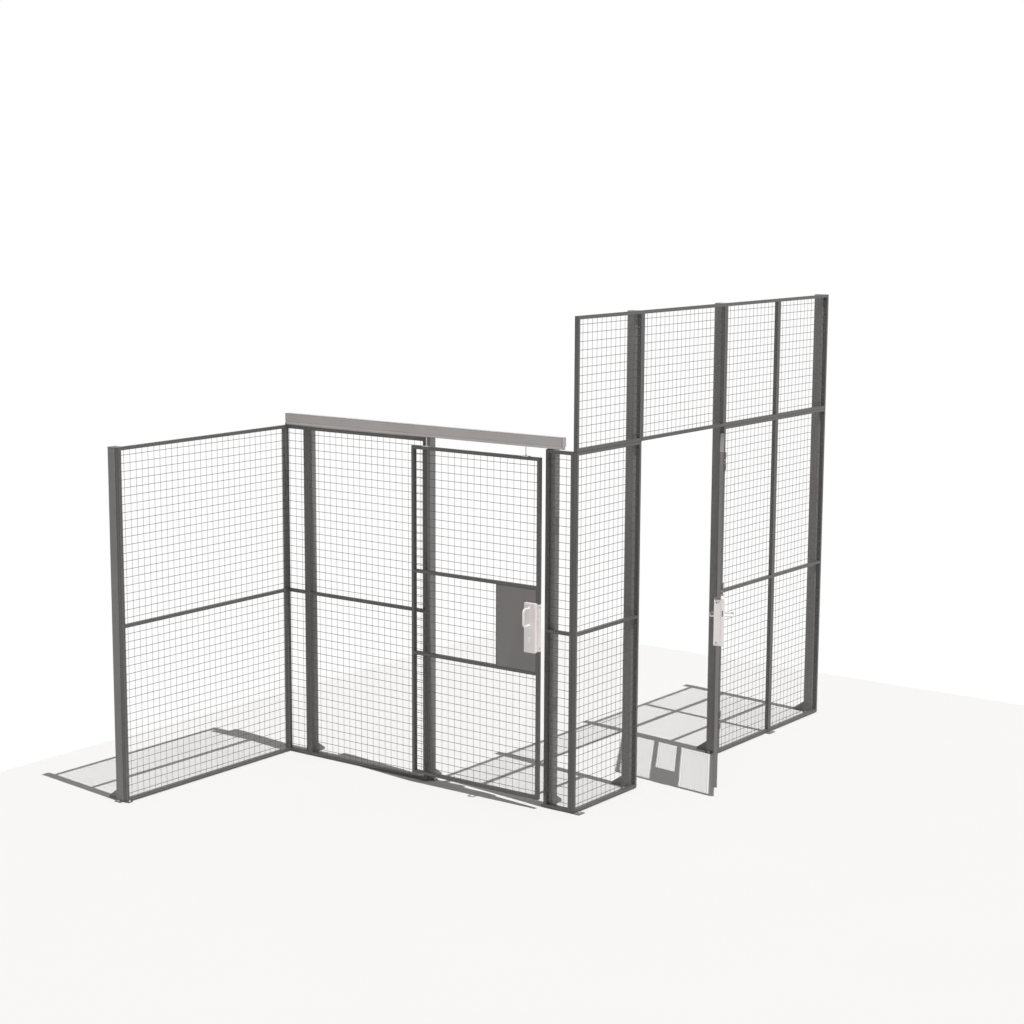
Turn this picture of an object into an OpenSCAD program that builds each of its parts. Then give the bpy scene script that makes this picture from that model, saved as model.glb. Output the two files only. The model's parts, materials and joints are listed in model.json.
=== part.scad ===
// Machine guard fence: three runs of framed mesh panels on square posts, laid out as a Z,
// with a top-hung sliding door in run B and a hinged door in run C.
// Axes: X along run B to the right, Y along run C away from run B, Z up.
// Origin: floor level under the outer corner where runs B and C meet.

/* [Panels] */
// Height of the lower panels
panel_h = 2200; // [1900:50:2300]
// Height of the upper panels on run C
upper_h = 800; // [400:50:1200]
// Gap between the panels and the floor; the small feet fill it
floor_gap = 5; // [4:1:12]
// Width of the frame tube, seen from the front
tube_w = 20; // [15:1:30]
// Depth of the frame tube, front to back
tube_d = 25; // [20:1:30]
// Diameter of the level mesh wires
level_d = 3; // [2:0.5:5]
// Diameter of the upright mesh wires
upright_d = 2; // [2:0.5:4]
// Distance between mesh wires, both ways
wire_pitch = 50; // [40:5:100]

/* [Layout] */
// Length of run A
run_a = 1500; // [1000:50:2000]
// Width of the narrow panels beside the doors of run B
b_side_w = 200; // [150:10:300]
// Width of the wide panel of run B, behind the open sliding door
b_wide_w = 1000; // [1000:50:1200]
// Width of the doorway in run B, between its panels
b_door_w = 905; // [850:5:930]
// Width of each plain panel of run C
c_side_w = 700; // [500:50:1000]
// Width of the doorway in run C, between its panels
c_door_w = 1000; // [900:10:1100]

/* [Posts] */
// Side of the square posts
post_w = 60; // [50:5:80]
// Wall thickness of the posts
post_t = 2; // [1.5:0.5:4]
// Outer corner radius of the posts
post_r = 6; // [4:1:10]
// Length of the foot plates along the fence
foot_l = 100; // [96:2:160]
// Width of the foot plates across the fence
foot_w = 50; // [40:5:60]
// Thickness of the foot plates
foot_t = 5; // [4:1:8]
// Radius of the anchor bolt holes
bolt_r = 4.5; // [3.5:0.5:5]
// Length of the gusset behind each post
gusset_l = 90; // [60:5:120]
// Height of the gusset at the post
gusset_h = 78; // [50:1:120]

/* [Doors] */
// Width of the sliding leaf
slide_w = 980; // [960:5:1000]
// Width of the hinged leaf
swing_w = 978; // [870:1:978]
// Height of both leaves
leaf_h = 2100; // [1900:10:2100]
// Height of the leaves' bottom edge above the floor
leaf_z = 61; // [50:1:90]
// Distance from the back of the sliding leaf to the front of run B
slide_gap = 35; // [30:1:45]
// Angle at which the hinged leaf stands open
swing_open = 30.1; // [0:0.1:60]
// Height of the lock housings
lock_h = 304; // [280:2:320]
// Width of the lock housings
lock_w = 84; // [76:1:100]
// Depth of the lock housings in front of the leaf
lock_d = 23; // [18:1:28]
// Height of the lock bodies set into the leaf's edge
body_h = 291; // [260:1:300]
// Thickness of the lock covers behind the leaf
cover_d = 15; // [10:1:18]
// Radius of the handle bars
bar_r = 6.5; // [5:0.5:8]
// Distance between the legs of the handles
handle_l = 106; // [90:1:130]
// Distance from the lock housing to the middle of the outer handles' grips
handle_out = 62; // [50:1:70]
// Bend radius of the handle bars
bend_r = 20; // [14:1:26]

/* [Track] */
// Length of the track cover, without its end caps
track_l = 2188; // [2100:1:2240]
// Height of the track cover
track_h = 72; // [66:1:90]
// Depth of the track cover
track_d = 38; // [36:1:60]
// Clear height between the panels' top edge and the track cover
track_lift = 17; // [10:1:40]

/* [Hidden] */

steel = [0.40, 0.39, 0.38];
track_grey = [0.62, 0.60, 0.59];
cap_grey = [0.42, 0.41, 0.40];
case_white = [0.90, 0.89, 0.88];
plastic_black = [0.13, 0.13, 0.14];
zinc = [0.72, 0.72, 0.72];

// Levels
low_top = floor_gap + panel_h;
high_top = low_top + upper_h;
mid_rail_z = panel_h / 2 - tube_w / 2;
cap_t = 3;
cap_plug = 12;

// Plan of run B, from right to left; its front face is the plane Y = 0
b3_x = -tube_d - b_side_w;
b2_right = b3_x - b_door_w;
b2_x = b2_right - b_wide_w;
b1_x = b2_x - b_side_w;
// Plan of run C, from near to far; its outer face is the plane X = 0
c_hinge_y = c_side_w + c_door_w;
c_joint_y = c_hinge_y + c_side_w;
c_end_y = c_joint_y + c_side_w;

// Posts: each overlaps the joint that it carries
post_lap = 5;
post_in = 17;
pb1_x = b2_x + post_lap - post_w;
pb2_x = b2_right + post_lap - post_w;
pb3_x = b3_x - post_in;
pc1_y = c_side_w + 2 * post_lap - post_w;
pc2_y = c_hinge_y - 2 * post_lap;
pc3_y = c_end_y + 2 * post_lap - post_w;
pa_y = -run_a - post_lap;

// Sliding leaf
slide_y = -slide_gap - tube_d;
slide_x = b3_x - 1 - slide_w;
slide_mid_y = slide_y + tube_d / 2;
hanger_in = 111;
plate_z = leaf_z + leaf_h;
stud_r = 3;
axle_r = 3;
// Rails inside both leaves, measured from the leaf's bottom edge
rail_low = 774;
rail_high = 1300;
// Sheet beside the lock, and the folded edge that it ends in
plate_w = 300;
plate_t = 3;
// Lock, measured from the leaf's bottom edge and from the end of the lock body
slide_lock_z = 1067;
swing_lock_z = 1044;
body_w = 14;
housing_in = 10;
groove = 2;
handle_in = 53.5;
handle_up = 69;
key_in = 58;
key_up = -67;

// Track
track_z = low_top + track_lift;
track_x = b1_x + 82;
track_back_y = -32.5;
track_front_y = track_back_y - track_d;
track_t = 2;
lean = 10;
lean_h = 18;
rail_w = 30;
rail_h = 32;
rail_t = 2.5;
rail_slot = 12;
rail_z = 12;
roller_r = 11;
roller_w = 5;
roller_z = track_z + rail_z + rail_t + roller_r + 0.3;

// Hinged leaf: closed, it stands in the doorway a little proud of the posts
swing_x = -19;
swing_y = c_hinge_y - 12 - swing_w;
hinge_x = 12;
hinge_y = c_hinge_y - 6;
knuckle_r = 7;
pin_r = 4;
hinge_l = 120;
hinge_levels = [175, 1045, 1915];
// The lock body stands back from the leaf's edge, so that it clears the post
swing_lock_in = 6;
spindle_in = 45;
spindle_up = 34;
inner_out = 26;

e = 0.01;

// A rectangle with round corners
module round_rect(w, h, r) {
    translate([r, 0]) square([w - 2 * r, h]);
    translate([0, r]) square([w, h - 2 * r]);
    for (x = [r, w - r], y = [r, h - r])
        translate([x, y]) circle(r = r, $fn = 32);
}

// First wire of a grid that is centred on a length
function first_wire(l) = l / 2 - floor(l / 2 / wire_pitch) * wire_pitch;

// Wires across one field of a panel that is w wide and h high: uprights in front, level ones behind.
// The grid is centred on the whole panel, so it runs on behind the inner rails.
module mesh_field(w, h, x0, x1, z0, z1) {
    bite = 1;
    upright_y = 0.3 + upright_d / 2;
    level_y = upright_y + upright_d / 2 + level_d / 2 + 0.05;
    for (x = [first_wire(w) : wire_pitch : x1 - level_d])
        if (x > x0 + level_d)
            translate([x, upright_y, z0 - bite])
                cylinder(r = upright_d / 2, h = z1 - z0 + 2 * bite, $fn = 16);
    for (z = [first_wire(h) : wire_pitch : z1 - level_d])
        if (z > z0 + level_d)
            translate([x0 - bite, level_y, z])
                rotate([0, 90, 0]) cylinder(r = level_d / 2, h = x1 - x0 + 2 * bite, $fn = 16);
}

// A framed mesh panel; rails lists the heights of its inner rails
module panel(w, h, rails) {
    levels = concat([0], rails, [h - tube_w]);
    difference() {
        cube([w, tube_d, h]);
        for (i = [0:1:len(levels) - 2])
            translate([tube_w, -e, levels[i] + tube_w])
                cube([w - 2 * tube_w, tube_d + 2 * e, levels[i + 1] - levels[i] - tube_w]);
    }
    for (i = [0:1:len(levels) - 2])
        mesh_field(w, h, tube_w, w - tube_w, levels[i] + tube_w, levels[i + 1]);
}

// A door leaf, with the folded edge of its lock sheet; the lock side is at x = w, and the lock
// body is let into that edge, centred on the height lock_z
module leaf(w, lock_z) {
    fold_x = w - tube_w - plate_w;
    middle_h = rail_high - rail_low - tube_w;
    difference() {
        cube([w, tube_d, leaf_h]);
        translate([tube_w, -e, tube_w])
            cube([w - 2 * tube_w, tube_d + 2 * e, rail_low - tube_w]);
        translate([tube_w, -e, rail_low + tube_w])
            cube([fold_x - tube_w, tube_d + 2 * e, middle_h]);
        translate([fold_x + plate_t, -e, rail_low + tube_w])
            cube([plate_w - plate_t, tube_d + 2 * e, middle_h]);
        translate([tube_w, -e, rail_high + tube_w])
            cube([w - 2 * tube_w, tube_d + 2 * e, leaf_h - rail_high - 2 * tube_w]);
        translate([w - body_w, -e, lock_z - body_h / 2])
            cube([body_w + e, tube_d + 2 * e, body_h]);
    }
    mesh_field(w, leaf_h, tube_w, w - tube_w, tube_w, rail_low);
    mesh_field(w, leaf_h, tube_w, fold_x, rail_low + tube_w, rail_high);
    mesh_field(w, leaf_h, tube_w, w - tube_w, rail_high + tube_w, leaf_h - tube_w);
}

// The sheet that fills the field beside the lock, flush with the leaf's front
module lock_sheet(w) {
    translate([w - tube_w - plate_w + plate_t, 0, rail_low + tube_w])
        cube([plate_w - plate_t, plate_t, rail_high - rail_low - tube_w]);
}

// Outline of a housing w wide and d deep, with its two front edges broken
module broken_edges(w, d, c) {
    polygon([[0, 0], [w, 0], [w, d - c], [w - c, d], [c, d], [0, d - c]]);
}

// A lock: its housing stands in front of the leaf on a narrower base, its body fills the leaf's
// edge, and a cover lies behind. x = 0 is the end of the body, y = 0 the front of the leaf, and
// z = 0 the middle of the lock. The cover starts at x = cover_in.
module lock_case(cover_in, edge = body_w) {
    c = 2.5;
    box_d = lock_d - groove;
    translate([housing_in, -groove, -lock_h / 2]) intersection() {
        rotate([90, 0, 0]) linear_extrude(box_d) round_rect(lock_w, lock_h, 5);
        linear_extrude(lock_h) mirror([0, 1]) broken_edges(lock_w, box_d, c);
        translate([0, 0, lock_h]) rotate([0, 90, 0]) linear_extrude(lock_w)
            mirror([0, 1]) broken_edges(lock_h, box_d, c);
    }
    translate([housing_in + groove, 0, -lock_h / 2 + groove]) rotate([90, 0, 0])
        linear_extrude(groove) round_rect(lock_w - 2 * groove, lock_h - 2 * groove, 4);
    translate([0, 0, -body_h / 2]) cube([edge, tube_d, body_h]);
    translate([cover_in, tube_d + cover_d, -body_h / 2]) rotate([90, 0, 0])
        linear_extrude(cover_d) round_rect(housing_in + lock_w - cover_in, body_h, 9);
}

// A profile cylinder that stands out of the housing
module key_cylinder() {
    translate([key_in, -lock_d, key_up]) rotate([90, 0, 0]) difference() {
        linear_extrude(3) {
            circle(r = 8.5, $fn = 48);
            translate([-5, -19.5]) square([10, 15]);
            translate([0, -19.5]) circle(r = 5, $fn = 32);
        }
        translate([-1, -4.5, 1.5]) cube([2, 9, 2]);
    }
}

// A bar bent into two legs and a grip. The first leg is on the Y axis and the second a step of
// handle_l above it; they start at y = -from, the grip is at y = -out.
module bent_bar(from, second_from, out) {
    rotate([90, 0, 0]) translate([0, 0, from]) cylinder(r = bar_r, h = out - from - bend_r, $fn = 32);
    translate([0, 0, handle_l]) rotate([90, 0, 0]) translate([0, 0, second_from])
        cylinder(r = bar_r, h = out - second_from - bend_r, $fn = 32);
    translate([0, -out, bend_r]) cylinder(r = bar_r, h = handle_l - 2 * bend_r, $fn = 32);
    translate([0, bend_r - out, bend_r]) rotate([0, 90, 0]) rotate([0, 0, -90])
        rotate_extrude(angle = 90, $fn = 64) translate([bend_r, 0]) circle(r = bar_r, $fn = 32);
    translate([0, bend_r - out, handle_l - bend_r]) rotate([0, 90, 0]) rotate([0, 0, 180])
        rotate_extrude(angle = 90, $fn = 64) translate([bend_r, 0]) circle(r = bar_r, $fn = 32);
}

// A panel in run B, or turned into runs A and C
module in_run_b(x) translate([x, 0, floor_gap]) children();
module in_run_c(y, z) translate([0, y, z]) rotate([0, 0, 90]) children();

// A post with its foot plate and gusset; the fence side is at y = 0, centred on x = 0
module post(h, gusset = gusset_l) {
    translate([-post_w / 2, 0, foot_t]) linear_extrude(h - cap_t - foot_t) difference() {
        round_rect(post_w, post_w, post_r);
        translate([post_t, post_t])
            round_rect(post_w - 2 * post_t, post_w - 2 * post_t, post_r - post_t);
    }
    difference() {
        translate([-foot_l / 2, (post_w - foot_w) / 2, 0]) cube([foot_l, foot_w, foot_t]);
        for (s = [-1, 1])
            translate([s * (foot_l / 2 - 10), post_w / 2, -e])
                cylinder(r = bolt_r, h = foot_t + 2 * e, $fn = 32);
    }
    translate([2, post_w - 1, 0]) rotate([0, -90, 0]) linear_extrude(4)
        polygon([[0, 0], [gusset_h, 0], [15, gusset + 1], [0, gusset + 1]]);
}

module post_cap(h) {
    translate([-post_w / 2, 0, h - cap_t]) linear_extrude(cap_t) round_rect(post_w, post_w, post_r);
    inset = post_t + 0.3;
    plug_w = post_w - 2 * inset;
    translate([-plug_w / 2, inset, h - cap_t - cap_plug])
        linear_extrude(cap_plug) round_rect(plug_w, plug_w, post_r - inset);
}

// Places of the posts: behind run B, and behind runs A and C on the machine side
module at_b(x) translate([x + post_w / 2, tube_d, 0]) children();
module at_c(y, x = -tube_d) translate([x, y + post_w / 2, 0]) rotate([0, 0, 90]) children();

module post_a_end() { color(steel) at_c(pa_y, b1_x) post(low_top); }
module post_b_left() { color(steel) at_b(pb1_x) post(low_top); }
module post_b_mid() { color(steel) at_b(pb2_x) post(low_top); }
module post_b_right() { color(steel) at_b(pb3_x) post(low_top); }
module post_c_near() { color(steel) at_c(pc1_y) post(high_top); }
module post_c_hinge() { color(steel) at_c(pc2_y) post(high_top); }
module post_c_end() { color(steel) at_c(pc3_y) post(high_top); }

module post_caps() {
    color(cap_grey) {
        at_c(pa_y, b1_x) post_cap(low_top);
        for (x = [pb1_x, pb2_x, pb3_x]) at_b(x) post_cap(low_top);
        for (y = [pc1_y, pc2_y, pc3_y]) at_c(y) post_cap(high_top);
    }
}

module panel_a() {
    color(steel) translate([b1_x + tube_d, -run_a, floor_gap]) rotate([0, 0, 90])
        panel(run_a, panel_h, [mid_rail_z]);
}
module panel_b_left() { color(steel) in_run_b(b1_x) panel(b_side_w, panel_h, [mid_rail_z]); }
module panel_b_wide() { color(steel) in_run_b(b2_x) panel(b_wide_w, panel_h, [mid_rail_z]); }
module panel_b_right() { color(steel) in_run_b(b3_x) panel(b_side_w, panel_h, [mid_rail_z]); }
module panel_c_lower(y) { color(steel) in_run_c(y, floor_gap) panel(c_side_w, panel_h, [mid_rail_z]); }
module panel_c_upper(y, w) { color(steel) in_run_c(y, low_top) panel(w, upper_h, []); }

// Small feet under the panels' ends, each with one bolt hole
module small_foot(x, y, dx, dy, hole_x, hole_y) {
    color(steel) difference() {
        translate([x, y, 0]) cube([dx, dy, floor_gap]);
        translate([hole_x, hole_y, -e]) cylinder(r = bolt_r, h = floor_gap + 2 * e, $fn = 32);
    }
}
module foot_corner() { small_foot(-tube_d, -3, 67, 61, 22, 30); }
module foot_joint() { small_foot(-tube_d, c_joint_y - 45, 57, 73, 16, c_joint_y); }
module foot_a_end() { small_foot(b1_x, -run_a + 2, 42, 36, b1_x + 33, -run_a + 20); }

// Track: a bent cover over a roller rail. In the outlines, x is the depth from the front.
// Stands an outline in (depth, height) up and runs it along X
module along_x(x0, l) {
    translate([x0, track_front_y, track_z]) rotate([90, 0, 90]) linear_extrude(l) children();
}
module track_cover() {
    lip = 12;
    back = track_d - track_t;
    top = track_h - track_t;
    color(track_grey) along_x(track_x, track_l)
        polygon([[lean, 0], [0, lean_h], [0, track_h], [track_d, track_h],
                 [track_d, track_h - lip], [back, track_h - lip], [back, top],
                 [track_t, top], [track_t, lean_h + track_t / 4], [lean + track_t, 0]]);
}
module track_end_caps() {
    cap = 3;
    step_in = 9;
    step_h = 20;
    color(track_grey) for (x = [track_x - cap, track_x + track_l]) along_x(x, cap)
        polygon([[lean, 0], [0, lean_h], [0, track_h], [track_d, track_h],
                 [track_d, step_h], [track_d - step_in, step_h], [track_d - step_in, 0]]);
}
module track_rail() {
    color(zinc) along_x(track_x + 1, track_l - 2) translate([track_d - rail_w, rail_z]) difference() {
        square([rail_w, rail_h]);
        translate([rail_t, rail_t]) square([rail_w - 2 * rail_t, rail_h - 2 * rail_t]);
        translate([(rail_w - rail_slot) / 2, -1]) square([rail_slot, rail_t + 2]);
    }
}
// Brackets from the tops of the posts to the back of the rail and of the cover
module track_brackets() {
    w = 40;
    t = 6;
    arm_z = 40;
    foot_y = tube_d + 5;
    color(steel) for (x = [pb1_x, pb2_x, pb3_x]) translate([x + 10, 0, low_top]) {
        translate([0, foot_y, 0]) cube([w, post_w - 10, t]);
        translate([0, foot_y, 0]) cube([w, t, arm_z]);
        translate([0, track_back_y, arm_z - t]) cube([w, foot_y + t - track_back_y, t]);
        translate([0, track_back_y, track_lift + rail_z]) cube([w, t, track_h - rail_z - 4]);
    }
}

// Sliding door
module slide_leaf() {
    color(steel) translate([slide_x, slide_y, leaf_z]) leaf(slide_w, slide_lock_z);
}
module slide_lock_plate() { color(steel) translate([slide_x, slide_y, leaf_z]) lock_sheet(slide_w); }
module slide_hangers() {
    color(steel) for (x = [slide_x + hanger_in, slide_x + slide_w - hanger_in]) {
        translate([x - 25, slide_y, plate_z]) cube([50, tube_d, 4]);
        translate([x, slide_mid_y, plate_z + 4])
            cylinder(r = stud_r, h = roller_z - plate_z - 4, $fn = 32);
        for (s = [-1, 1]) translate([x + s * 16, slide_mid_y - 10, roller_z])
            rotate([-90, 0, 0]) cylinder(r = axle_r, h = 20, $fn = 32);
        translate([x - 20, slide_mid_y - 4, roller_z - 6]) cube([40, 8, 12]);
    }
}
module slide_rollers() {
    color(plastic_black)
        for (x = [slide_x + hanger_in, slide_x + slide_w - hanger_in], s = [-1, 1], t = [-1, 1])
            translate([x + s * 16, slide_mid_y + t * 7.25 - roller_w / 2, roller_z])
                rotate([-90, 0, 0]) difference() {
                    cylinder(r = roller_r, h = roller_w, $fn = 48);
                    translate([0, 0, -1]) cylinder(r = axle_r, h = roller_w + 2, $fn = 32);
                }
}
// Turns the parts of a lock so that they fit the right-hand edge of the sliding leaf
module at_slide_lock() {
    translate([slide_x + slide_w, slide_y, leaf_z + slide_lock_z]) mirror([1, 0, 0]) children();
}
module slide_lock_case() { color(case_white) at_slide_lock() lock_case(body_w - 2); }
module slide_key_cylinder() { color(zinc) at_slide_lock() key_cylinder(); }
module slide_handle() {
    color(case_white) at_slide_lock()
        translate([handle_in, -lock_d, handle_up - handle_l / 2]) bent_bar(0, 0, handle_out);
}

// Hinged door: drawn closed, then turned about the hinge line to where it stands
module swung() {
    translate([hinge_x, hinge_y, 0]) rotate([0, 0, swing_open]) translate([-hinge_x, -hinge_y, 0])
        children();
}
// The leaf's front is its outer side, and its lock side is the near one
module swing_frame() {
    translate([swing_x + tube_d, swing_y + swing_w, leaf_z]) rotate([0, 0, -90]) mirror([0, 1, 0])
        children();
}
module at_swing_lock() {
    translate([swing_x + tube_d, swing_y + swing_lock_in, leaf_z + swing_lock_z]) rotate([0, 0, 90])
        children();
}
// The line that the levers turn about
module spindle(r) {
    at_swing_lock() translate([spindle_in, 2 * lock_d + tube_d, spindle_up])
        rotate([90, 0, 0]) cylinder(r = r, h = 4 * lock_d + tube_d, $fn = 32);
}
module swing_leaf() { color(steel) swung() swing_frame() leaf(swing_w, swing_lock_z); }
module swing_lock_plate() {
    color(steel) swung() difference() {
        swing_frame() lock_sheet(swing_w);
        spindle(bar_r + 1);
    }
}
module swing_lock_case() {
    color(case_white) swung() difference() {
        at_swing_lock() lock_case(0, body_w - swing_lock_in);
        spindle(bar_r + 0.3);
    }
}
module swing_key_cylinder() { color(zinc) swung() at_swing_lock() key_cylinder(); }
// One bar on each face of the lock; their first legs meet as the spindle, and their second legs
// end short of the leaf
module swing_levers() {
    inner_y = tube_d + cover_d;
    color(case_white) swung() at_swing_lock() translate([spindle_in, 0, spindle_up]) {
        rotate([0, 90, 0]) bent_bar(0, lock_d, lock_d + handle_out);
        mirror([0, 1, 0]) rotate([0, 90, 0]) bent_bar(0, inner_y - 2, inner_y + inner_out);
    }
}
module knuckles(levels, part) {
    for (z = levels, i = [0:1:2])
        if ((i == 1) == (part == "leaf"))
            translate([hinge_x, hinge_y, z + i * hinge_l / 3 + 0.5]) difference() {
                cylinder(r = knuckle_r, h = hinge_l / 3 - 1, $fn = 48);
                translate([0, 0, -1]) cylinder(r = pin_r + (part == "leaf" ? 0.05 : 0), h = hinge_l, $fn = 32);
            }
}
module swing_hinge_leaf_side() {
    color(steel) swung() {
        knuckles(hinge_levels, "leaf");
        for (z = hinge_levels)
            translate([swing_x + tube_d, hinge_y - 36, z + hinge_l / 3 + 0.5]) difference() {
                cube([4, 36, hinge_l / 3 - 1]);
                translate([hinge_x - swing_x - tube_d, 36, -1]) cylinder(r = pin_r + 1, h = hinge_l, $fn = 32);
            }
    }
}
module swing_hinge_post_side() {
    color(steel) {
        knuckles(hinge_levels, "post");
        for (z = hinge_levels, i = [0, 2])
            translate([0, hinge_y, z + i * hinge_l / 3 + 0.5]) difference() {
                cube([8, 26, hinge_l / 3 - 1]);
                translate([hinge_x, 0, -1]) cylinder(r = pin_r + 1, h = hinge_l, $fn = 32);
            }
    }
}
module swing_hinge_pins() {
    color(zinc) for (z = hinge_levels)
        translate([hinge_x, hinge_y, z]) cylinder(r = pin_r, h = hinge_l, $fn = 32);
}

post_a_end();
post_b_left();
post_b_mid();
post_b_right();
post_c_near();
post_c_hinge();
post_c_end();
post_caps();
panel_a();
panel_b_left();
panel_b_wide();
panel_b_right();
panel_c_lower(0);  // panel_c_near_lower
panel_c_upper(0, c_side_w);  // panel_c_near_upper
panel_c_upper(c_side_w, c_door_w);  // door_header
panel_c_lower(c_hinge_y);  // panel_c_mid_lower
panel_c_upper(c_hinge_y, c_side_w);  // panel_c_mid_upper
panel_c_lower(c_joint_y);  // panel_c_far_lower
panel_c_upper(c_joint_y, c_side_w);  // panel_c_far_upper
foot_corner();
foot_joint();
foot_a_end();
track_cover();
track_end_caps();
track_rail();
track_brackets();
slide_leaf();
slide_hangers();
slide_rollers();
slide_lock_plate();
slide_lock_case();
slide_key_cylinder();
slide_handle();
swing_leaf();
swing_lock_plate();
swing_lock_case();
swing_key_cylinder();
swing_levers();
swing_hinge_leaf_side();
swing_hinge_pins();
swing_hinge_post_side();
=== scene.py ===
import json
import math

import bpy
from bpy.props import FloatProperty, FloatVectorProperty, IntProperty
from mathutils import Matrix, Vector


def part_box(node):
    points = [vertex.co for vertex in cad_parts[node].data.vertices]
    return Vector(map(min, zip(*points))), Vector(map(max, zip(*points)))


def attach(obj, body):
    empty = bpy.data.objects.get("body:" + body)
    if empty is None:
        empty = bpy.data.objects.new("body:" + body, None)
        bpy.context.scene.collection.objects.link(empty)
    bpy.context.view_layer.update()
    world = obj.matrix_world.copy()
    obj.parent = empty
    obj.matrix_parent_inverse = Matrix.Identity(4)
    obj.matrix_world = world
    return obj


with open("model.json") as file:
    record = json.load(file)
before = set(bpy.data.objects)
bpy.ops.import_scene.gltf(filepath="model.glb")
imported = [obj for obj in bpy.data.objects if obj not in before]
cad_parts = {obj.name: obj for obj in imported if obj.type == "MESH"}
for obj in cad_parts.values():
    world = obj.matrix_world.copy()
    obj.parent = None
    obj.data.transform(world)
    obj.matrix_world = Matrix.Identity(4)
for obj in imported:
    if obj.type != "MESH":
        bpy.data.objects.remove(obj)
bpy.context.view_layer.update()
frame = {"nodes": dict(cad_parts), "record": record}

bl_info = {
    "name": "Guard fence finish",
    "version": (1, 0, 0),
    "blender": (4, 5, 0),
    "location": "View3D > Sidebar > Guard Fence",
    "description": "Coats the steel guard fence, its doors and locks, and adds their fasteners",
    "category": "Object",
}

NODES = frame["nodes"]
RECORD = frame["record"]
JOINTS = {joint["name"]: joint for joint in RECORD["behaviour"]["joints"]}


def millimetres(*values):
    return Vector(value / 1000.0 for value in values)


def turned_about(place, degrees):
    return (Matrix.Translation(place) @ Matrix.Rotation(math.radians(degrees), 4, "Z")
            @ Matrix.Translation(-place))


# The hinged door is drawn closed and stands open at rest by its lower limit
SWUNG = turned_about(Vector(JOINTS["hinged_door_swing"]["pos_m"]),
                     -JOINTS["hinged_door_swing"]["range_deg"][0])
# Both locks share one frame: x from the end of the body, y back from the leaf's front, z up
# from the lock's middle
SLIDE_LOCK = Matrix.Translation(millimetres(-226, -60, 1128)) @ Matrix.Diagonal((-1, 1, 1, 1))
SWING_LOCK = (SWUNG @ Matrix.Translation(millimetres(6, 716, 1105))
              @ Matrix.Rotation(math.radians(90.0), 4, "Z"))

# Sizes in metres, after the CAD model where they repeat one of its dimensions
SMOOTH_BELOW = math.radians(35.0)
PLATE_TOP = 0.005
HINGE_LEVELS = (0.175, 1.045, 1.915)
LOW_ROWS = (0.16, 2.04)
TALL_ROWS = (2.34, 2.88)
TALL_POST = 2.5
POST_W = 0.060
NUT_STEP = 0.012
BRACKET_PLATE = 0.009
HANGER_IN = 0.111
HANGER_PLATE = 0.004
WIRE_LIMIT = 0.005
FLOOR_SIZE = 60.0
SUN_TOWARDS = (0.343, -0.042, 0.938)

FINISH_OF_NODE = {
    "powder_steel": [
        "post_a_end", "post_b_left", "post_b_mid", "post_b_right",
        "post_c_near", "post_c_hinge", "post_c_end",
        "foot_corner", "foot_joint", "foot_a_end", "track_brackets",
        "slide_lock_plate", "swing_lock_plate", "swing_leaf",
        "swing_hinge_leaf_side", "swing_hinge_post_side",
    ],
    "frame_coat": [
        "panel_a", "panel_b_left", "panel_b_wide", "panel_b_right",
        "panel_c_near_lower", "panel_c_near_upper", "door_header",
        "panel_c_mid_lower", "panel_c_mid_upper", "panel_c_far_lower", "panel_c_far_upper",
        "slide_leaf",
    ],
    "track_coat": ["track_cover", "track_end_caps"],
    "lock_plastic": ["slide_lock_case", "swing_lock_case", "slide_handle", "swing_levers"],
    "cap_plastic": ["post_caps"],
    "black_plastic": ["slide_rollers"],
    "zinc_plate": ["track_rail", "slide_hangers", "swing_hinge_pins"],
    "satin_nickel": ["slide_key_cylinder", "swing_key_cylinder"],
}


# ---------------------------------------------------------------- shader maths

class Field:
    """A value that varies over a surface. Arithmetic on it adds Math nodes."""

    def __init__(self, finish, socket):
        self.finish = finish
        self.socket = socket

    def _math(self, operation, first, second):
        return self.finish.node("ShaderNodeMath", {"operation": operation}, {0: first, 1: second})

    def __add__(self, other):
        return self._math("ADD", self, other)

    def __radd__(self, other):
        return self._math("ADD", other, self)

    def __sub__(self, other):
        return self._math("SUBTRACT", self, other)

    def __rsub__(self, other):
        return self._math("SUBTRACT", other, self)

    def __mul__(self, other):
        return self._math("MULTIPLY", self, other)

    def __rmul__(self, other):
        return self._math("MULTIPLY", other, self)


class NodeTree:
    """The nodes of a material or of the world under construction."""

    def __init__(self, owner):
        owner.use_nodes = True
        self.tree = owner.node_tree
        self.tree.nodes.clear()

    def node(self, kind, settings=None, inputs=None, output=0):
        """Adds one node: its settings first, then the values or links of its sockets."""
        node = self.tree.nodes.new(kind)
        for key, value in (settings or {}).items():
            setattr(node, key, value)
        for key, value in (inputs or {}).items():
            if isinstance(value, Field):
                self.tree.links.new(value.socket, node.inputs[key])
            else:
                node.inputs[key].default_value = value
        return Field(self, node.outputs[output]) if node.outputs else node


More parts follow.
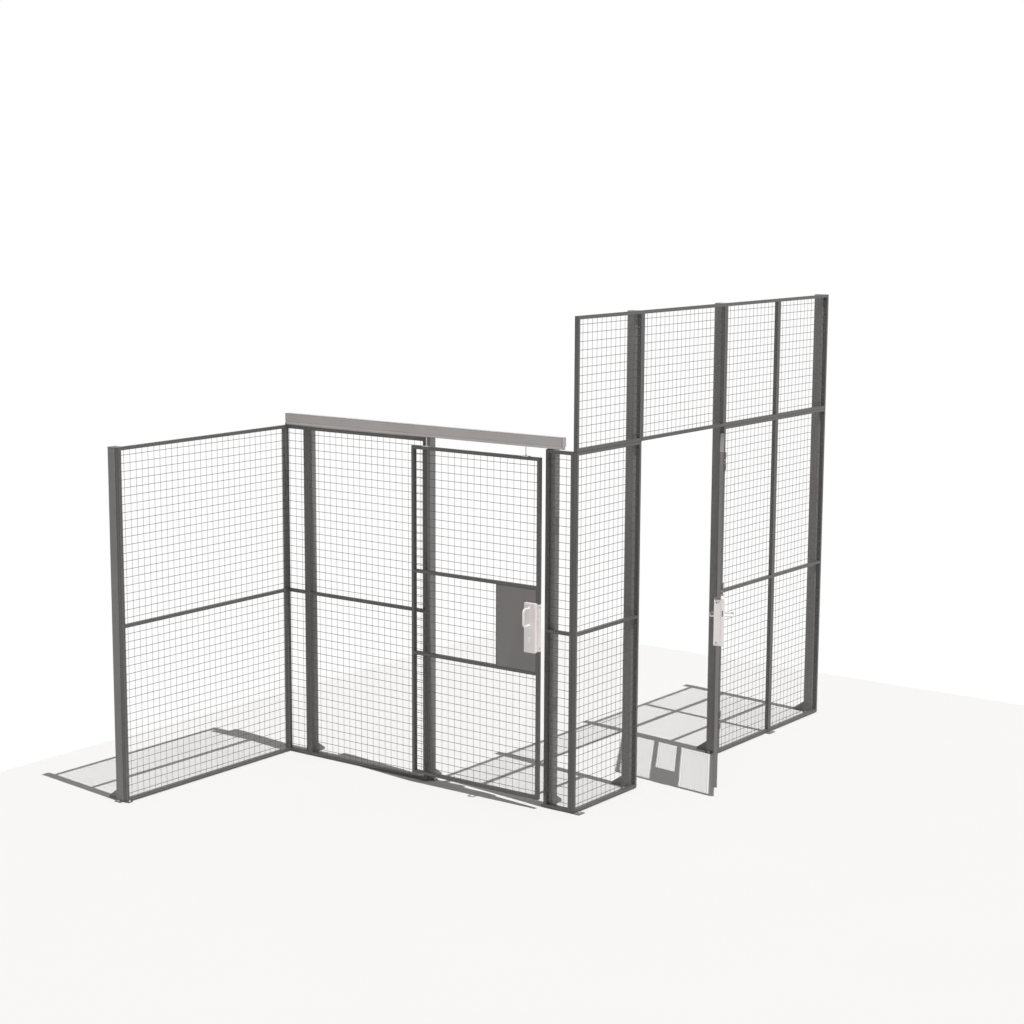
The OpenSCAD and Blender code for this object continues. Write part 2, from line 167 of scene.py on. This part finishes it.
class Finish(NodeTree):
    """A procedural material under construction."""

    def __init__(self, name):
        self.material = bpy.data.materials.new(name)
        super().__init__(self.material)
        self.place = self.node("ShaderNodeTexCoord", output="Object")

    def noise(self, scale, detail=2.0, roughness=0.5, stretch=None):
        """Noise from 0 to 1 in object space; stretch lengthens it along an axis."""
        place = self.place
        if stretch:
            place = self.node("ShaderNodeMapping", None, {"Vector": place, "Scale": stretch})
        return self.node("ShaderNodeTexNoise", None, {
            "Vector": place, "Scale": scale, "Detail": detail, "Roughness": roughness})

    def step(self, value, low, high):
        """0 below low, 1 above high, smooth between."""
        return self.node("ShaderNodeMapRange", {"interpolation_type": "SMOOTHSTEP"}, {
            "Value": value, "From Min": low, "From Max": high, "To Min": 0.0, "To Max": 1.0})

    def height(self):
        """Height above the floor in metres."""
        return self.node("ShaderNodeSeparateXYZ", None, {"Vector": self.place}, "Z")

    def blend(self, mask, first, second):
        """Colour that goes from first to second as the mask goes from 0 to 1."""
        return self.node("ShaderNodeMix", {"data_type": "RGBA"}, {
            "Factor": mask, 6: first, 7: second}, 2)

    def edges(self, reach):
        """1 at the edges of the steel, falling to 0 at the given distance from them."""
        eased = self.node("ShaderNodeBevel", {"samples": 6}, {"Radius": reach})
        flat = self.node("ShaderNodeNewGeometry", output="True Normal")
        across = self.node("ShaderNodeVectorMath", {"operation": "DOT_PRODUCT"},
                           {0: eased, 1: flat}, "Value")
        return self.step(1.0 - across, 0.001, 0.035)

    def thin(self, limit):
        """1 where the steel is thinner than the limit, as the wires are, and 0 elsewhere."""
        return 1.0 - self.node("ShaderNodeAmbientOcclusion", {"inside": True, "samples": 6},
                               {"Distance": limit}, "AO")

    def bump(self, height, distance, strength=1.0):
        return self.node("ShaderNodeBump", None, {
            "Height": height, "Distance": distance, "Strength": strength})

    def surface(self, colour, roughness, normal, metallic=0.0, specular=0.5):
        """Closes the material with one Principled shader."""
        shader = self.node("ShaderNodeBsdfPrincipled", None, {
            "Base Color": colour, "Roughness": roughness, "Metallic": metallic,
            "Specular IOR Level": specular, "Normal": normal})
        self.node("ShaderNodeOutputMaterial", None, {"Surface": shader})
        return self.material


def rgba(colour, factor=1.0):
    return tuple(channel * factor for channel in colour) + (1.0,)


def powder_steel(colour):
    """Powder coat of the posts, plates and hinged leaf."""
    finish = Finish("powder_steel")
    return powder_coat(finish, colour, 0.006)


def frame_coat(colour):
    """Powder coat of the welded frames, with the mesh wires painted lighter as a painted sheen and a wider
    band of painted shade at the edges.
    """
    finish = Finish("frame_coat")
    return powder_coat(finish, colour, 0.010, finish.thin(WIRE_LIMIT))


def powder_coat(finish, colour, reach, painted_wire_sheen=None):
    """Grey powder coat on steel: orange-peel skin, painted shade at the edges, a painted sheen on the thin
    wires where a wire mask is given, dust low down.
    """
    drift = finish.step(finish.noise(1.7, 3.0), 0.35, 0.65)
    tone = finish.blend(drift, rgba(colour, 0.96), rgba(colour, 1.04))
    speck = finish.step(finish.noise(900.0, 1.0), 0.62, 0.74)
    tone = finish.blend(speck * 0.30, tone, rgba(colour, 1.30))
    # Painted sheen: where the mask marks thin wires, the colour is painted 2.4 times lighter.
    if painted_wire_sheen:
        tone = finish.blend(painted_wire_sheen, tone, rgba(colour, 2.40))
    # Painted shade: near the edges the colour is painted down to 0.36 of itself, over the given reach.
    painted_edge_shade = finish.edges(reach) * (0.75 + 0.25 * finish.noise(60.0, 3.0))
    tone = finish.blend(painted_edge_shade, tone, rgba(colour, 0.36))
    low = 1.0 - finish.step(finish.height(), 0.02, 0.35)
    dust = low * finish.step(finish.noise(24.0, 4.0, 0.6), 0.42, 0.75)
    tone = finish.blend(dust * 0.20, tone, (0.30, 0.28, 0.25, 1.0))
    peel = finish.noise(420.0, 2.0)
    rough = 0.42 + 0.12 * finish.noise(35.0, 3.0) + 0.20 * dust
    return finish.surface(tone, rough, finish.bump(peel, 0.00012, 0.35), specular=0.4)


def track_coat(colour):
    """Satin coat on the rolled track cover: faint lines along it, with painted shade at the edges."""
    finish = Finish("track_coat")
    lines = finish.noise(260.0, 2.0, 0.5, (0.01, 1.0, 1.0))
    drift = finish.step(finish.noise(2.2, 2.0), 0.3, 0.7)
    tone = finish.blend(drift * 0.6 + lines * 0.4, rgba(colour, 0.94), rgba(colour, 1.06))
    # Painted shade: near the edges the colour is painted down to 0.35 of itself.
    tone = finish.blend(finish.edges(0.006) * 0.8, tone, rgba(colour, 0.35))
    rough = 0.34 + 0.14 * finish.noise(30.0, 3.0)
    return finish.surface(tone, rough, finish.bump(lines, 0.0001, 0.3), specular=0.45)


def lock_plastic(colour):
    """Off-white moulded plastic with a fine eroded grain and a few scuffs."""
    finish = Finish("lock_plastic")
    drift = finish.noise(6.0, 3.0)
    scuffs = finish.step(finish.noise(90.0, 5.0, 0.7, (0.3, 1.0, 1.6)), 0.68, 0.76)
    tone = finish.blend(drift, rgba(colour, 0.97), rgba(colour, 1.02))
    tone = finish.blend(scuffs * 0.25, tone, rgba(colour, 0.78))
    grain = finish.noise(1400.0, 2.0)
    rough = 0.42 + 0.10 * drift + 0.18 * scuffs
    return finish.surface(tone, rough, finish.bump(grain, 0.00006, 0.4), specular=0.5)


def black_plastic(colour):
    """Black polyamide with a matt grain."""
    finish = Finish("black_plastic")
    drift = finish.noise(12.0, 3.0)
    tone = finish.blend(drift, rgba(colour, 0.8), rgba(colour, 1.5))
    grain = finish.noise(1100.0, 2.0)
    return finish.surface(tone, 0.5 + 0.15 * drift, finish.bump(grain, 0.00008, 0.4))


def cap_plastic(colour):
    """Grey polyamide of the post caps, with a matt grain."""
    finish = Finish("cap_plastic")
    drift = finish.noise(12.0, 3.0)
    tone = finish.blend(drift, rgba(colour, 0.92), rgba(colour, 1.08))
    grain = finish.noise(1100.0, 2.0)
    return finish.surface(tone, 0.45 + 0.15 * drift, finish.bump(grain, 0.00008, 0.4))


def dark_screw(colour):
    """Blackened steel of the lock screws."""
    finish = Finish("dark_screw")
    drift = finish.noise(400.0, 3.0)
    tone = finish.blend(drift, rgba(colour, 0.7), rgba(colour, 1.4))
    rough = 0.32 + 0.18 * drift
    return finish.surface(tone, rough, finish.bump(drift, 0.00003, 0.3), metallic=0.6)


def zinc_plate(colour):
    """Zinc plating with soft spangles and thin scratches."""
    finish = Finish("zinc_plate")
    spangle = finish.node("ShaderNodeTexVoronoi", None, {"Vector": finish.place, "Scale": 160.0}, "Color")
    cell = finish.node("ShaderNodeSeparateColor", None, {"Color": spangle})
    tone = finish.blend(cell, rgba(colour, 0.88), rgba(colour, 1.10))
    scratch = finish.noise(700.0, 2.0, 0.5, (0.05, 1.0, 1.0))
    rough = 0.28 + 0.14 * cell + 0.08 * scratch
    return finish.surface(tone, rough, finish.bump(scratch, 0.00004, 0.3), metallic=1.0)


def satin_nickel(colour):
    """Satin nickel of the key cylinders, brushed across."""
    finish = Finish("satin_nickel")
    brushed = finish.noise(600.0, 2.0, 0.5, (0.1, 1.0, 4.0))
    tone = finish.blend(brushed, rgba(colour, 0.94), rgba(colour, 1.04))
    rough = 0.36 + 0.12 * brushed
    return finish.surface(tone, rough, finish.bump(brushed, 0.00003, 0.3), metallic=0.4)


MAKERS = {maker.__name__: maker for maker in (
    powder_steel, frame_coat, track_coat, lock_plastic, black_plastic, cap_plastic, dark_screw, zinc_plate,
    satin_nickel)}


def finish_named(name):
    """The material of that name, made once in the colour that the scene's settings give it."""
    if name not in bpy.data.materials:
        MAKERS[name](getattr(bpy.context.scene.fence_colours, name))
    return bpy.data.materials[name]


# ---------------------------------------------------------------- modelling

def deselect_all():
    if bpy.context.object and bpy.context.object.mode != "OBJECT":
        bpy.ops.object.mode_set(mode="OBJECT")
    bpy.ops.object.select_all(action="DESELECT")


def choose(piece, kind, test):
    """Opens the piece for editing with the faces or edges that pass the test selected."""
    bpy.ops.object.mode_set(mode="EDIT")
    bpy.ops.mesh.select_mode(type="FACE" if kind == "polygons" else "EDGE")
    bpy.ops.mesh.select_all(action="DESELECT")
    bpy.ops.object.mode_set(mode="OBJECT")
    mesh = piece.data
    found = 0
    for part in getattr(mesh, kind):
        if kind == "polygons":
            part.select = test(part.center, part.normal)
        else:
            part.select = test(*(mesh.vertices[index].co for index in part.vertices))
        found += part.select
    if not found:
        raise RuntimeError("nothing to shape on " + piece.name)
    bpy.ops.object.mode_set(mode="EDIT")


def facing_up(level):
    return lambda centre, normal: normal.z > 0.9 and centre.z > level


def rim_at(level):
    return lambda first, second: min(first.z, second.z) > level


def hex_head(name, across, height, washer_r, washer_t=0.0016):
    """A chamfered hexagon head on a washer, standing on the XY plane."""
    deselect_all()
    radius = across / math.sqrt(3.0)
    bpy.ops.mesh.primitive_cylinder_add(vertices=6, radius=radius, depth=height,
                                        location=(0.0, 0.0, washer_t + height / 2.0))
    head = bpy.context.object
    bpy.ops.object.transform_apply(location=True, rotation=False, scale=False)
    choose(head, "edges", rim_at(washer_t + height * 0.9))
    bpy.ops.mesh.bevel(offset=height * 0.14, segments=1, affect="EDGES")
    choose(head, "polygons", facing_up(washer_t + height * 0.9))
    bpy.ops.mesh.inset(thickness=radius * 0.12, depth=-height * 0.04)
    deselect_all()
    bpy.ops.mesh.primitive_cylinder_add(vertices=24, radius=washer_r, depth=washer_t,
                                        location=(0.0, 0.0, washer_t / 2.0))
    washer = bpy.context.object
    bpy.ops.object.transform_apply(location=True, rotation=False, scale=False)
    choose(washer, "edges", rim_at(washer_t * 0.9))
    bpy.ops.mesh.bevel(offset=washer_t * 0.3, segments=2, affect="EDGES")
    bpy.ops.object.mode_set(mode="OBJECT")
    head.select_set(True)
    bpy.ops.object.join()
    washer.name = name
    return washer


def button_head(name, radius, height):
    """A domed screw head with a round drive recess, standing on the XY plane."""
    deselect_all()
    bpy.ops.mesh.primitive_cylinder_add(vertices=24, radius=radius, depth=height,
                                        location=(0.0, 0.0, height / 2.0))
    head = bpy.context.object
    head.name = name
    bpy.ops.object.transform_apply(location=True, rotation=False, scale=False)
    choose(head, "edges", rim_at(height * 0.9))
    bpy.ops.mesh.bevel(offset=min(radius * 0.5, height * 0.7), segments=4, affect="EDGES")
    choose(head, "polygons", facing_up(height * 0.9))
    bpy.ops.mesh.inset(thickness=radius * 0.12)
    bpy.ops.mesh.extrude_region_move(TRANSFORM_OT_translate={"value": (0.0, 0.0, -height * 0.6)})
    bpy.ops.object.mode_set(mode="OBJECT")
    return head


def rounded_block(name, low, high, rounding, segments=3):
    """A block between two corners, in metres, with rounded edges."""
    deselect_all()
    bpy.ops.mesh.primitive_cube_add(size=1.0, location=(low + high) / 2.0)
    block = bpy.context.object
    block.name = name
    block.scale = high - low
    bpy.ops.object.transform_apply(location=True, rotation=False, scale=True)
    soften = block.modifiers.new("soften", "BEVEL")
    soften.width = rounding
    soften.segments = segments
    soften.limit_method = "ANGLE"
    bpy.ops.object.modifier_apply(modifier=soften.name)
    return block


def collar(name, bore_r, outer_r, height):
    """A flat ring with a softened rim, standing on the XY plane."""
    deselect_all()
    bpy.ops.mesh.primitive_circle_add(vertices=32, radius=outer_r, fill_type="NGON",
                                      location=(0.0, 0.0, 0.0))
    ring = bpy.context.object
    ring.name = name
    bpy.ops.object.mode_set(mode="EDIT")
    bpy.ops.mesh.select_mode(type="FACE")
    bpy.ops.mesh.select_all(action="SELECT")
    bpy.ops.mesh.inset(thickness=outer_r - bore_r)
    bpy.ops.mesh.delete(type="FACE")
    bpy.ops.object.mode_set(mode="OBJECT")
    wall = ring.modifiers.new("wall", "SOLIDIFY")
    wall.thickness = height
    wall.offset = 1.0
    bpy.ops.object.modifier_apply(modifier=wall.name)
    soften = ring.modifiers.new("soften", "BEVEL")
    soften.width = height * 0.3
    soften.segments = 3
    soften.limit_method = "ANGLE"
    bpy.ops.object.modifier_apply(modifier=soften.name)
    choose(ring, "polygons", lambda centre, normal: True)
    bpy.ops.mesh.normals_make_consistent(inside=False)
    bpy.ops.object.mode_set(mode="OBJECT")
    return ring


def at(place, towards):
    """A frame at a place, in metres, with its Z axis along a direction."""
    return Matrix.Translation(place) @ Vector(towards).to_track_quat("Z", "Y").to_matrix().to_4x4()


def set_out(master, places, body, finish):
    """Copies a modelled piece to each place, joins the copies and hangs them on a body."""
    copies = []
    for place in places:
        mesh = master.data.copy()
        mesh.transform(place)
        if place.determinant() < 0.0:
            mesh.flip_normals()
        copy = bpy.data.objects.new(master.name, mesh)
        bpy.context.collection.objects.link(copy)
        copies.append(copy)
    name = master.name
    old = master.data
    bpy.data.objects.remove(master)
    bpy.data.meshes.remove(old)
    deselect_all()
    for copy in copies:
        copy.select_set(True)
    piece = copies[0]
    bpy.context.view_layer.objects.active = piece
    if len(copies) > 1:
        bpy.ops.object.join()
    bpy.ops.object.shade_smooth_by_angle(angle=SMOOTH_BELOW)
    piece.name = name
    piece.data.name = name
    piece.data.materials.clear()
    piece.data.materials.append(finish_named(finish))
    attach(piece, body)
    piece.select_set(False)
    return piece


# ---------------------------------------------------------------- settings

def colour_property(name, description, default):
    return FloatVectorProperty(name=name, description=description, default=default,
                               subtype="COLOR", min=0.0, max=1.0)


def length_property(name, description, default):
    return FloatProperty(name=name, description=description, default=default,
                         min=0.001, max=0.05, precision=4, unit="LENGTH")


class ColourSettings(bpy.types.PropertyGroup):
    powder_steel: colour_property("Posts", "Powder coat of the posts, plates and hinged leaf",
                                  (0.215, 0.207, 0.202))
    # The frames are painted darker than the posts, as painted shade for the thin frame members.
    frame_coat: colour_property("Frames", "Powder coat of the panels and the sliding leaf",
                                (0.132, 0.1265, 0.123))
    track_coat: colour_property("Track", "Coat of the track cover", (0.50, 0.475, 0.465))
    lock_plastic: colour_property("Locks", "Plastic of the lock cases, handle and levers",
                                  (0.90, 0.86, 0.85))
    cap_plastic: colour_property("Caps", "Plastic of the post caps", (0.21, 0.20, 0.195))
    black_plastic: colour_property("Black plastic", "Rollers and the latch slot",
                                   (0.030, 0.030, 0.032))
    dark_screw: colour_property("Dark screws", "Screws in the lock bodies", (0.10, 0.10, 0.10))
    zinc_plate: colour_property("Zinc", "Bolts, nuts and pins", (0.58, 0.58, 0.57))
    satin_nickel: colour_property("Nickel", "Key cylinders", (0.88, 0.87, 0.86))


class FastenerSettings(bpy.types.PropertyGroup):
    anchor_across: length_property("Anchor heads", "Width across flats of the floor anchors", 0.013)
    nut_across: length_property("Nuts", "Width across flats of the panel and hanger nuts", 0.010)
    hinge_screw_r: length_property("Hinge screws", "Head radius of the hinge screws", 0.0048)
    lock_screw_r: length_property("Lock screws", "Head radius of the lock body screws", 0.0038)
    bolt_levels: IntProperty(name="Bolt levels", description="Rows of panel bolts on each post",
                             default=4, min=2, max=8)


class StageSettings(bpy.types.PropertyGroup):
    lens: FloatProperty(name="Lens", description="Focal length of the camera in millimetres",
                        default=72.13, min=20.0, max=200.0)
    pitch: FloatProperty(name="Pitch", description="Angle at which the camera looks down",
                         default=math.radians(8.971), subtype="ANGLE")
    yaw: FloatProperty(name="Yaw", description="Angle of the camera, left of the Y axis",
                       default=math.radians(37.87), subtype="ANGLE")
    place: FloatVectorProperty(name="Camera place", description="Where the camera stands",
                               default=(6.758, -9.910, 3.746), subtype="TRANSLATION", unit="LENGTH")
    floor_left: FloatProperty(name="Floor's left edge", description="X of the floor's left edge",
                              default=-3.45, unit="LENGTH")
    floor_back: FloatProperty(name="Floor's back edge", description="Y of the floor's back edge",
                              default=4.20, unit="LENGTH")
    sun: FloatProperty(name="Sun", description="Strength of the key light", default=2.75, min=0.0)
    sky: FloatProperty(name="Sky", description="Strength of the fill light", default=0.27, min=0.0)
    bounce: FloatProperty(name="Bounce", description="Light from below, past the floor's edges",
                          default=0.85, min=0.0)


GROUPS = {"fence_colours": ColourSettings, "fence_fasteners": FastenerSettings,
          "fence_stage": StageSettings}


# ---------------------------------------------------------------- operators

class FENCE_OT_coat(bpy.types.Operator):
    """Give every part of the fence its finish"""
    bl_idname = "fence.coat"
    bl_label = "Coat the Parts"

    def execute(self, context):
        for name, nodes in FINISH_OF_NODE.items():
            material = finish_named(name)
            for node in nodes:
                mesh = NODES[node].data
                mesh.materials.clear()
                mesh.materials.append(material)
        return {"FINISHED"}


class FENCE_OT_anchors(bpy.types.Operator):
    """Bolt the foot plates and the small feet to the floor"""
    bl_idname = "fence.anchors"
    bl_label = "Add the Floor Anchors"

    def execute(self, context):
        places = []
        for mount in RECORD["mounts"]:
            if not mount["name"].startswith("anchor_"):
                continue
            step = Vector((mount["dims"].get("spacing_x_mm", 0.0),
                           mount["dims"].get("spacing_y_mm", 0.0), 0.0)) / 2000.0
            top = Vector(mount["pos_m"]) + Vector((0.0, 0.0, PLATE_TOP))
            for side in ((-1, 1) if step.length else (0,)):
                turn = Matrix.Rotation(0.4 + 1.7 * len(places), 4, "Z")
                places.append(Matrix.Translation(top + side * step) @ turn)
        master = hex_head("anchor_bolts", context.scene.fence_fasteners.anchor_across, 0.0053, 0.0075)
        set_out(master, places, "root", "zinc_plate")
        return {"FINISHED"}


class FENCE_OT_panel_bolts(bpy.types.Operator):
    """Add the nuts that hold the panels to the posts"""
    bl_idname = "fence.panel_bolts"
    bl_label = "Add the Panel Bolts"

    def execute(self, context):
        sizes = context.scene.fence_fasteners
        levels = sizes.bolt_levels
        places = []
        for node in FINISH_OF_NODE["powder_steel"]:
            if not node.startswith("post_"):
                continue
            low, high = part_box(node)
            low, high = Vector(low), Vector(high)
            behind_b = node.startswith("post_b")
            first, last = LOW_ROWS
            rows = [first + (last - first) * row / (levels - 1) for row in range(levels)]
            rows += TALL_ROWS if high.z > TALL_POST else ()
            along = (low.x + high.x) / 2.0 if behind_b else (low.y + high.y) / 2.0
            for level in rows:
                for side in (-NUT_STEP, NUT_STEP):
                    if behind_b:
                        spot = Vector((along + side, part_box("panel_b_wide")[1][1] + POST_W, level))
                        places.append(at(spot, (0.0, 1.0, 0.0)))
                    else:
                        panel = "panel_a" if node == "post_a_end" else "panel_c_mid_lower"
                        spot = Vector((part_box(panel)[0][0] - POST_W, along + side, level))
                        places.append(at(spot, (-1.0, 0.0, 0.0)))
        master = hex_head("panel_bolts", sizes.nut_across, 0.0042, 0.0068, 0.0012)
        set_out(master, places, "root", "zinc_plate")
        return {"FINISHED"}


class FENCE_OT_hinge_screws(bpy.types.Operator):
    """Add the screws of the hinges"""
    bl_idname = "fence.hinge_screws"
    bl_label = "Add the Hinge Screws"

    def execute(self, context):
        radius = context.scene.fence_fasteners.hinge_screw_r
        leaf_side, post_side = [], []
        place = Vector(JOINTS["hinged_door_swing"]["pos_m"])
        for level in HINGE_LEVELS:
            for step in (-0.011, 0.011):
                spot = Vector((0.010, place.y - 0.025, level + 0.060 + step))
                leaf_side.append(SWUNG @ at(spot, (1.0, 0.0, 0.0)))
            for height in (0.012, 0.028, 0.092, 0.108):
                spot = Vector((0.008, place.y + 0.017, level + height))
                post_side.append(at(spot, (1.0, 0.0, 0.0)))
        set_out(button_head("hinge_screws_leaf", radius, 0.0026), leaf_side,
                "hinged_door", "zinc_plate")
        set_out(button_head("hinge_screws_post", radius, 0.0026), post_side,
                "root", "zinc_plate")
        return {"FINISHED"}


class FENCE_OT_lock_details(bpy.types.Operator):
    """Add the screws, collars and latches of both locks"""
    bl_idname = "fence.lock_details"
    bl_label = "Add the Lock Details"

    def execute(self, context):
        radius = context.scene.fence_fasteners.lock_screw_r
        locks = (("slide", SLIDE_LOCK, "sliding_door", 12.5, 24.0),
                 ("swing", SWING_LOCK, "hinged_door", 24.0, 12.0))
        for name, lock, body, screw_y, cover_x in locks:
            ends = [at(millimetres(0, screw_y, z), (-1, 0, 0)) for z in (126, -126)]
            set_out(button_head(name + "_edge_screws", radius, 0.0014), [lock @ end for end in ends],
                    body, "dark_screw")
            fronts = [at(millimetres(x, -23, z), (0, -1, 0)) for x in (22, 82) for z in (-140, 140)]
            set_out(button_head(name + "_housing_screws", 0.0030, 0.0010),
                    [lock @ spot for spot in fronts], body, "lock_plastic")
            backs = [at(millimetres(x, 40, z), (0, 1, 0)) for x in (cover_x, 82) for z in (-132, 132)]
            set_out(button_head(name + "_cover_screws", 0.0036, 0.0012),
                    [lock @ spot for spot in backs], body, "zinc_plate")
        slot = rounded_block("swing_latch_slot", millimetres(9.4, -14.5, 38),
                             millimetres(11, -8.5, 74), 0.0005, 2)
        set_out(slot, [SWING_LOCK], "hinged_door", "black_plastic")
        nose = rounded_block("slide_latch_nose", millimetres(3, -5, 43), millimetres(9.5, 0, 57), 0.0022, 4)
        set_out(nose, [SLIDE_LOCK], "sliding_door", "lock_plastic")
        collars = [SLIDE_LOCK @ at(millimetres(53.5, -23, z), (0, -1, 0)) for z in (16, 122)]
        set_out(collar("handle_collars", 0.0064, 0.0105, 0.0022), collars,
                "sliding_door", "lock_plastic")
        outer = SWING_LOCK @ at(millimetres(45, -23, 34), (0, -1, 0))
        inner = SWING_LOCK @ at(millimetres(45, 40, 34), (0, 1, 0))
        set_out(collar("lever_collars", 0.0071, 0.0115, 0.0022), [outer, inner],
                "hinged_door", "lock_plastic")
        return {"FINISHED"}


class FENCE_OT_track_details(bpy.types.Operator):
    """Add the track's screws, bolts and nuts, and the strip below it on the fixed panels"""
    bl_idname = "fence.track_details"
    bl_label = "Add the Track Details"

    def execute(self, context):
        across = context.scene.fence_fasteners.nut_across
        low, high = (Vector(corner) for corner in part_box("track_end_caps"))
        caps = []
        for height in (0.030, 0.062):
            for x, side in ((low.x, -1.0), (high.x, 1.0)):
                caps.append(at(Vector((x, low.y + 0.012, low.z + height)), (side, 0.0, 0.0)))
        set_out(button_head("end_cap_screws", 0.0034, 0.0018), caps, "root", "zinc_plate")
        bolts = []
        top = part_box("post_b_mid")[1][2] + BRACKET_PLATE
        for node in ("post_b_left", "post_b_mid", "post_b_right"):
            box_low, box_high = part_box(node)
            middle = (box_low[0] + box_high[0]) / 2.0
            for step in (-0.010, 0.010):
                bolts.append(Matrix.Translation((middle + step, 0.062, top)))
        set_out(hex_head("bracket_bolts", across, 0.0042, 0.0068, 0.0012), bolts,
                "root", "zinc_plate")
        panel_end, _, panel_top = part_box("panel_b_wide")[1]
        panel_start, track_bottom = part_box("panel_b_left")[0][0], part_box("track_cover")[0][2]
        strip = rounded_block("gap_strip", Vector((panel_start + 0.010, 0.001, panel_top)),
                              Vector((panel_end, 0.004, track_bottom)), 0.0006, 2)
        set_out(strip, [Matrix()], "root", "track_coat")
        nuts = []
        low, high = (Vector(corner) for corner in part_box("slide_leaf"))
        for x in (low.x + HANGER_IN, high.x - HANGER_IN):
            nuts.append(Matrix.Translation((x, (low.y + high.y) / 2.0, high.z + HANGER_PLATE)))
        set_out(hex_head("hanger_nuts", across, 0.0050, 0.0060, 0.0012), nuts,
                "sliding_door", "zinc_plate")
        return {"FINISHED"}


class FENCE_OT_stage(bpy.types.Operator):
    """Add the floor, the lights, the white backdrop and the camera"""
    bl_idname = "fence.stage"
    bl_label = "Set the Stage"

    def execute(self, context):
        settings = context.scene.fence_stage
        bpy.ops.object.select_all(action="DESELECT")
        bpy.ops.mesh.primitive_plane_add(
            size=FLOOR_SIZE, location=(settings.floor_left + FLOOR_SIZE / 2.0,
                                       settings.floor_back - FLOOR_SIZE / 2.0, 0.0))
        floor = context.object
        bpy.ops.object.transform_apply(location=True, rotation=False, scale=False)
        floor.name = "floor"
        floor.data.materials.append(floor_paint())

        bpy.ops.object.light_add(type="SUN", location=(2.0, 0.0, 6.0))
        sun = context.object
        sun.rotation_euler = Vector(SUN_TOWARDS).to_track_quat("Z", "Y").to_euler()
        sun.data.energy = settings.sun
        sun.data.angle = math.radians(0.35)

        bpy.ops.object.camera_add(
            location=settings.place,
            rotation=(math.radians(90.0) - settings.pitch, 0.0, settings.yaw))
        camera = context.object
        camera.data.lens = settings.lens
        camera.data.sensor_width = 36.0
        camera.data.shift_x = 0.0607
        camera.data.shift_y = -0.0008
        camera.data.clip_end = 400.0
        context.scene.camera = camera

        white_backdrop(context.scene, settings.sky, settings.bounce)
        context.scene.view_settings.view_transform = "Standard"
        return {"FINISHED"}


def floor_paint():
    """A pale, matt floor."""
    finish = Finish("floor")
    cloud = finish.noise(1.2, 2.0)
    tone = finish.blend(cloud, (0.866, 0.859, 0.857, 1.0), (0.874, 0.867, 0.865, 1.0))
    matt = finish.node("ShaderNodeBsdfDiffuse", None, {"Color": tone})
    finish.node("ShaderNodeOutputMaterial", None, {"Surface": matt})
    return finish.material


def white_backdrop(scene, sky, bounce):
    """Fill light from above and below; the camera, gloss and glass see plain white."""
    scene.world = bpy.data.worlds.new("backdrop")
    world = NodeTree(scene.world)

    def light(strength, colour=(1.0, 1.0, 1.0, 1.0)):
        return world.node("ShaderNodeBackground", None, {"Color": colour, "Strength": strength})

    def mixed(mask, first, second):
        return world.node("ShaderNodeMixShader", None, {0: mask, 1: first, 2: second})

    seen = world.node("ShaderNodeLightPath", output="Is Camera Ray")
    for ray in ("Is Glossy Ray", "Is Transmission Ray"):
        seen = world.node("ShaderNodeMath", {"operation": "MAXIMUM"}, {
            0: seen, 1: world.node("ShaderNodeLightPath", output=ray)})
    aim = world.node("ShaderNodeTexCoord", output="Generated")
    height = world.node("ShaderNodeSeparateXYZ", None, {"Vector": aim}, "Z")
    above = world.node("ShaderNodeMath", {"operation": "GREATER_THAN"}, {0: height, 1: 0.0})
    fill = mixed(above, light(bounce), light(sky, (1.0, 0.965, 0.955, 1.0)))
    world.node("ShaderNodeOutputWorld", None, {"Surface": mixed(seen, fill, light(1.0))})


class FENCE_PT_panel(bpy.types.Panel):
    """Lists the steps that finish the fence"""
    bl_label = "Guard Fence"
    bl_idname = "FENCE_PT_panel"
    bl_space_type = "VIEW_3D"
    bl_region_type = "UI"
    bl_category = "Guard Fence"

    def draw(self, context):
        for step in STEPS:
            self.layout.operator(step.bl_idname)
        for group, settings in GROUPS.items():
            for name in settings.__annotations__:
                self.layout.prop(getattr(context.scene, group), name)


STEPS = (FENCE_OT_stage, FENCE_OT_coat, FENCE_OT_anchors, FENCE_OT_panel_bolts,
         FENCE_OT_hinge_screws, FENCE_OT_lock_details, FENCE_OT_track_details)
CLASSES = tuple(GROUPS.values()) + STEPS + (FENCE_PT_panel,)


def register():
    for cls in CLASSES:
        bpy.utils.register_class(cls)
    for name, group in GROUPS.items():
        setattr(bpy.types.Scene, name, bpy.props.PointerProperty(type=group))


def unregister():
    for name in GROUPS:
        delattr(bpy.types.Scene, name)
    for cls in reversed(CLASSES):
        bpy.utils.unregister_class(cls)


def main():
    register()
    for step in STEPS:
        group, name = step.bl_idname.split(".")
        getattr(getattr(bpy.ops, group), name)()


if __name__ == "__main__":
    main()
